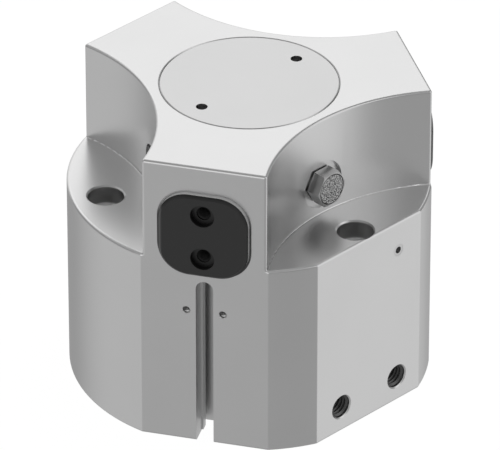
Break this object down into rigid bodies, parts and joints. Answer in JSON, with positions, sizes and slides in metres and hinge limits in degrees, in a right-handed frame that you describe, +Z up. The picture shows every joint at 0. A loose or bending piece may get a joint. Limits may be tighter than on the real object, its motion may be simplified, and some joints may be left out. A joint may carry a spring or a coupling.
{
  "type": "three jaw centric gripper",
  "caption": "Round pneumatic gripper with three arms, each with a sealed square jaw that slides outwards, driven together by a piston and wedge hook.",
  "frame": {"origin": "on the gripper's axis, at the mounting face", "axes": "+Z up along the axis, away from the mounting face; -Y out through the front jaw; the air ports are in the flat 60 degrees to its right"},
  "size_m": [0.0748, 0.074, 0.0651],
  "materials": {
    "anodised_aluminium": "satin hard anodised",
    "cover_aluminium": "turned and anodised",
    "black_coated_steel": "hardened steel with a smooth black coating",
    "black_rubber": "moulded nitrile rubber",
    "nickel_plate": "turned, nickel plated",
    "sintered_metal": "sintered granules",
    "black_oxide_steel": "blackened steel",
    "spring_steel": "phosphated spring steel",
    "ground_steel": "hardened and ground",
    "plug_steel": "turned, zinc plated",
    "bearing_steel": "polished ball",
    "bronze": "sintered bronze bush",
    "seal_polyurethane": "moulded polyurethane",
    "guide_plastic": "filled plastic strip",
    "bonded_magnet": "plastic-bonded magnet"
  },
  "bodies": {
    "housing": {"housing": "anodised_aluminium", "top_cover": "cover_aluminium", "top_cover_o_ring": "black_rubber", "bottom_cover": "cover_aluminium", "bottom_cover_o_ring": "black_rubber", "rod_guide": "cover_aluminium", "rod_guide_o_ring": "black_rubber", "rod_guide_retaining_ring": "spring_steel", "rod_bush": "bronze", "rod_seal": "seal_polyurethane", "vent_plug": "nickel_plate", "vent_filter": "sintered_metal", "blanking_plug": "black_oxide_steel", "blanking_plug_gasket": "black_rubber", "channel_plug_sleeves": "plug_steel", "channel_plug_balls": "bearing_steel", "wiper_front": "black_rubber", "wiper_right": "black_rubber", "wiper_left": "black_rubber"},
    "piston": {"piston": "cover_aluminium", "piston_seal": "seal_polyurethane", "piston_cap": "cover_aluminium", "piston_guide_ring": "guide_plastic", "piston_magnet": "bonded_magnet", "piston_screw": "black_oxide_steel", "wedge_hook": "ground_steel"},
    "jaw_front": {"jaw_front": "black_coated_steel"},
    "jaw_right": {"jaw_right": "black_coated_steel"},
    "jaw_left": {"jaw_left": "black_coated_steel"}
  },
  "joints": [
    {"name": "piston_slide", "type": "slide", "parent": "housing", "child": "piston", "axis": [0, 0, 1], "range_m": [0, 0.01]},
    {"name": "jaw_front_slide", "type": "slide", "parent": "housing", "child": "jaw_front", "axis": [0, -1, 0], "range_m": [0, 0.006]},
    {"name": "jaw_right_slide", "type": "slide", "parent": "housing", "child": "jaw_right", "axis": [0.866, 0.5, 0], "range_m": [0, 0.006]},
    {"name": "jaw_left_slide", "type": "slide", "parent": "housing", "child": "jaw_left", "axis": [-0.866, 0.5, 0], "range_m": [0, 0.006]}
  ],
  "couplings": [
    {"joint": "jaw_front_slide", "follows": "piston_slide", "ratio": 0.6},
    {"joint": "jaw_right_slide", "follows": "piston_slide", "ratio": 0.6},
    {"joint": "jaw_left_slide", "follows": "piston_slide", "ratio": 0.6}
  ]
}
